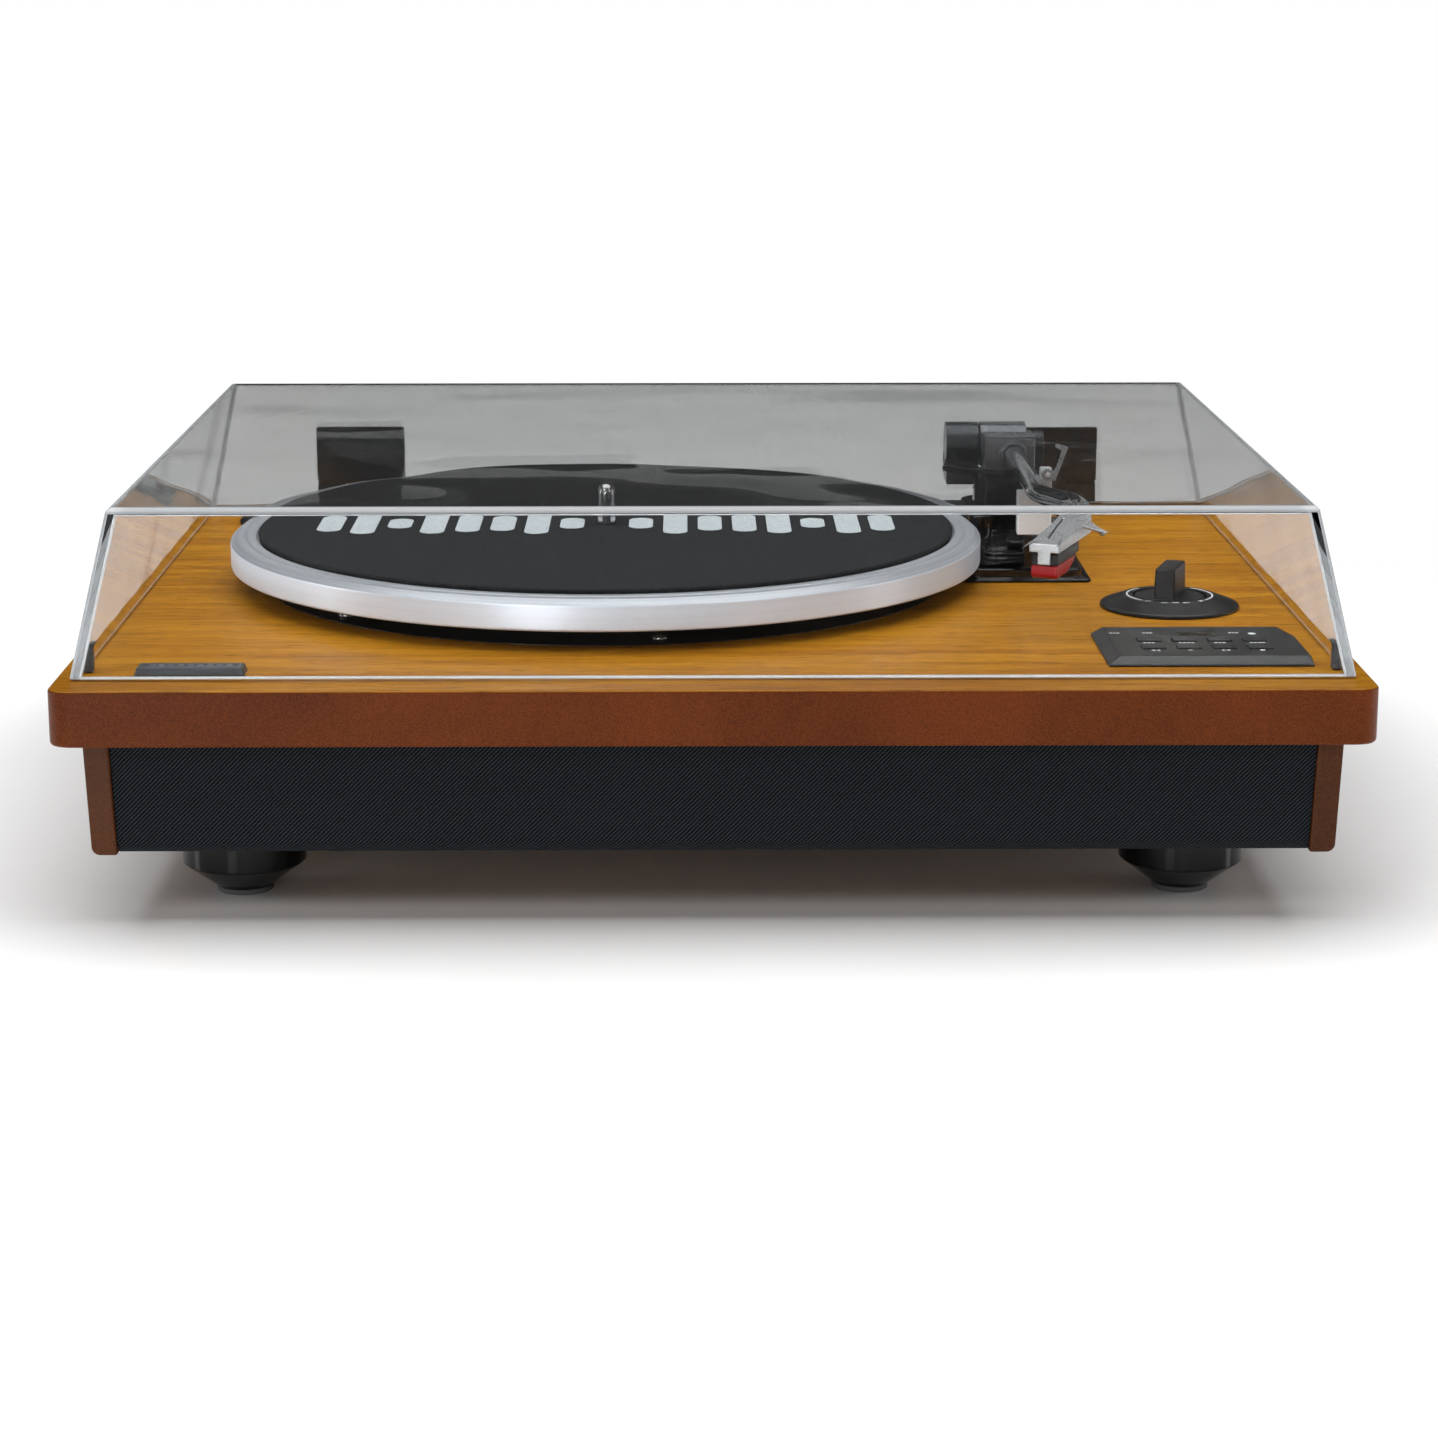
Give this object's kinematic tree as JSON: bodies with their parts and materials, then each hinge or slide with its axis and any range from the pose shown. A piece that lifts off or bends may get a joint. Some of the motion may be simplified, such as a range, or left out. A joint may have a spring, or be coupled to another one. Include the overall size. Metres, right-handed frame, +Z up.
{
  "type": "record player",
  "caption": "Belt-drive record player: wooden plinth with built-in speakers, hinged clear lid, bent tonearm and a small control panel.",
  "frame": {"origin": "on the floor under the middle of the top board", "axes": "+X to the right and +Y to the back as the player is used, +Z up"},
  "size_m": [0.46, 0.375, 0.145],
  "materials": {
    "wood": "satin honey stain, fine straight grain",
    "cheek_wood": "satin red-brown stain",
    "board": "bare fibreboard",
    "black_board": "matt black",
    "cloth": "blue-black twill",
    "foot": "gloss black",
    "rubber": "soft matt",
    "steel": "bright steel",
    "brass": "turned",
    "aluminium": "satin turned",
    "felt": "felt",
    "black_plastic": "satin moulded",
    "gloss_black": "polished moulded",
    "arm_silver": "satin silver",
    "weight": "dark plated",
    "stylus_red": "gloss red",
    "badge": "dark grey, bevelled",
    "switch_cap": "grey moulded",
    "led": "clear lens",
    "circuit": "green board",
    "clear": "clear polished acrylic"
  },
  "bodies": {
    "plinth": {"top_slab": "wood", "left_cheek": "cheek_wood", "right_cheek": "cheek_wood", "front_baffle": "board", "grille_cloth": "cloth", "back_panel": "black_board", "bottom_panel": "board", "feet": "foot", "foot_pads": "rubber", "wood_screws": "steel", "speaker_frames": "black_plastic", "speaker_cones": "cloth", "speaker_magnets": "steel", "platter_tray": "black_plastic", "bearing_housing": "brass", "motor": "steel", "drive_belt": "rubber", "switch_plate": "black_plastic", "control_panel": "black_plastic", "usb_socket": "steel", "status_led": "led", "control_board": "circuit", "volume_bezel": "black_plastic", "potentiometer": "steel", "badge": "badge", "tonearm_base": "gloss_black", "pivot_post": "gloss_black", "arm_rest": "arm_silver", "hinge_bases": "black_plastic", "hinge_pins": "steel", "rear_sockets": "steel", "main_board": "circuit"},
    "platter": {"platter": "aluminium", "mat": "felt", "spindle": "steel"},
    "motor_pulley": {"motor_pulley": "brass"},
    "arm_yoke": {"arm_yoke": "gloss_black"},
    "tonearm": {"arm_block": "arm_silver", "arm_tube": "arm_silver", "headshell": "arm_silver", "cartridge": "gloss_black", "stylus": "stylus_red", "counterweight": "weight"},
    "arm_clip": {"arm_clip": "arm_silver"},
    "cue_lever": {"cue_lever": "gloss_black"},
    "cue_lift": {"cue_lift": "gloss_black"},
    "volume_knob": {"volume_knob": "black_plastic"},
    "speed_switch": {"speed_switch": "switch_cap"},
    "autostop_switch": {"autostop_switch": "switch_cap"},
    "dust_lid": {"dust_lid": "clear", "lid_buffers": "rubber", "hinge_leaves": "black_plastic"},
    "power_button": {"power_button": "black_plastic"},
    "source_button": {"source_button": "black_plastic"},
    "record_button": {"record_button": "black_plastic"},
    "repeat_button": {"repeat_button": "black_plastic"},
    "back_button": {"back_button": "black_plastic"},
    "play_button": {"play_button": "black_plastic"},
    "next_button": {"next_button": "black_plastic"},
    "stop_button": {"stop_button": "black_plastic"}
  },
  "joints": [
    {"name": "platter_spin", "type": "hinge", "parent": "plinth", "child": "platter", "pos_m": [-0.0415, 0.0215, 0.087], "axis": [0, 0, -1], "continuous": true},
    {"name": "motor_spin", "type": "hinge", "parent": "plinth", "child": "motor_pulley", "pos_m": [-0.10655, 0.08655, 0.087], "axis": [0, 0, -1], "continuous": true},
    {"name": "arm_swing", "type": "hinge", "parent": "plinth", "child": "arm_yoke", "pos_m": [0.127, 0.0925, 0.107], "axis": [0, 0, -1], "range_deg": [0, 50]},
    {"name": "arm_lift", "type": "hinge", "parent": "arm_yoke", "child": "tonearm", "pos_m": [0.127, 0.0925, 0.1276], "axis": [-1, 0, 0], "range_deg": [0, 3]},
    {"name": "cue_lever_turn", "type": "hinge", "parent": "plinth", "child": "cue_lever", "pos_m": [0.145, 0.0675, 0.0995], "axis": [-1, 0, 0], "range_deg": [0, 60]},
    {"name": "cue_lift_rise", "type": "slide", "parent": "plinth", "child": "cue_lift", "axis": [0, 0, 1], "range_m": [0, 0.0017]},
    {"name": "arm_clip_turn", "type": "hinge", "parent": "plinth", "child": "arm_clip", "pos_m": [0.134, 0.0105, 0.128], "axis": [0, -1, 0], "range_deg": [0, 110]},
    {"name": "volume_turn", "type": "hinge", "parent": "plinth", "child": "volume_knob", "pos_m": [0.1765, -0.0435, 0.087], "axis": [0, 0, -1], "range_deg": [-130, 130]},
    {"name": "speed_slide", "type": "slide", "parent": "plinth", "child": "speed_switch", "axis": [1, 0, 0], "range_m": [-0.004, 0.004]},
    {"name": "autostop_slide", "type": "slide", "parent": "plinth", "child": "autostop_switch", "axis": [1, 0, 0], "range_m": [0, 0.007]},
    {"name": "lid_open", "type": "hinge", "parent": "plinth", "child": "dust_lid", "pos_m": [0, 0.1825, 0.0932], "axis": [-1, 0, 0], "range_deg": [0, 65]},
    {"name": "power_button_press", "type": "slide", "parent": "plinth", "child": "power_button", "axis": [0, 0, -1], "range_m": [0, 0.0008], "stiffness_N_per_m": 400, "springref_m": -0.001},
    {"name": "source_button_press", "type": "slide", "parent": "plinth", "child": "source_button", "axis": [0, 0, -1], "range_m": [0, 0.0008], "stiffness_N_per_m": 400, "springref_m": -0.001},
    {"name": "record_button_press", "type": "slide", "parent": "plinth", "child": "record_button", "axis": [0, 0, -1], "range_m": [0, 0.0008], "stiffness_N_per_m": 400, "springref_m": -0.001},
    {"name": "repeat_button_press", "type": "slide", "parent": "plinth", "child": "repeat_button", "axis": [0, 0, -1], "range_m": [0, 0.0008], "stiffness_N_per_m": 400, "springref_m": -0.001},
    {"name": "back_button_press", "type": "slide", "parent": "plinth", "child": "back_button", "axis": [0, 0, -1], "range_m": [0, 0.0008], "stiffness_N_per_m": 400, "springref_m": -0.001},
    {"name": "play_button_press", "type": "slide", "parent": "plinth", "child": "play_button", "axis": [0, 0, -1], "range_m": [0, 0.0008], "stiffness_N_per_m": 400, "springref_m": -0.001},
    {"name": "next_button_press", "type": "slide", "parent": "plinth", "child": "next_button", "axis": [0, 0, -1], "range_m": [0, 0.0008], "stiffness_N_per_m": 400, "springref_m": -0.001},
    {"name": "stop_button_press", "type": "slide", "parent": "plinth", "child": "stop_button", "axis": [0, 0, -1], "range_m": [0, 0.0008], "stiffness_N_per_m": 400, "springref_m": -0.001}
  ],
  "couplings": [
    {"joint": "motor_spin", "follows": "platter_spin", "ratio": 11.273},
    {"joint": "cue_lever_turn", "follows": "arm_lift", "ratio": 20},
    {"joint": "cue_lift_rise", "follows": "arm_lift", "m_per_rad": 0.032}
  ]
}
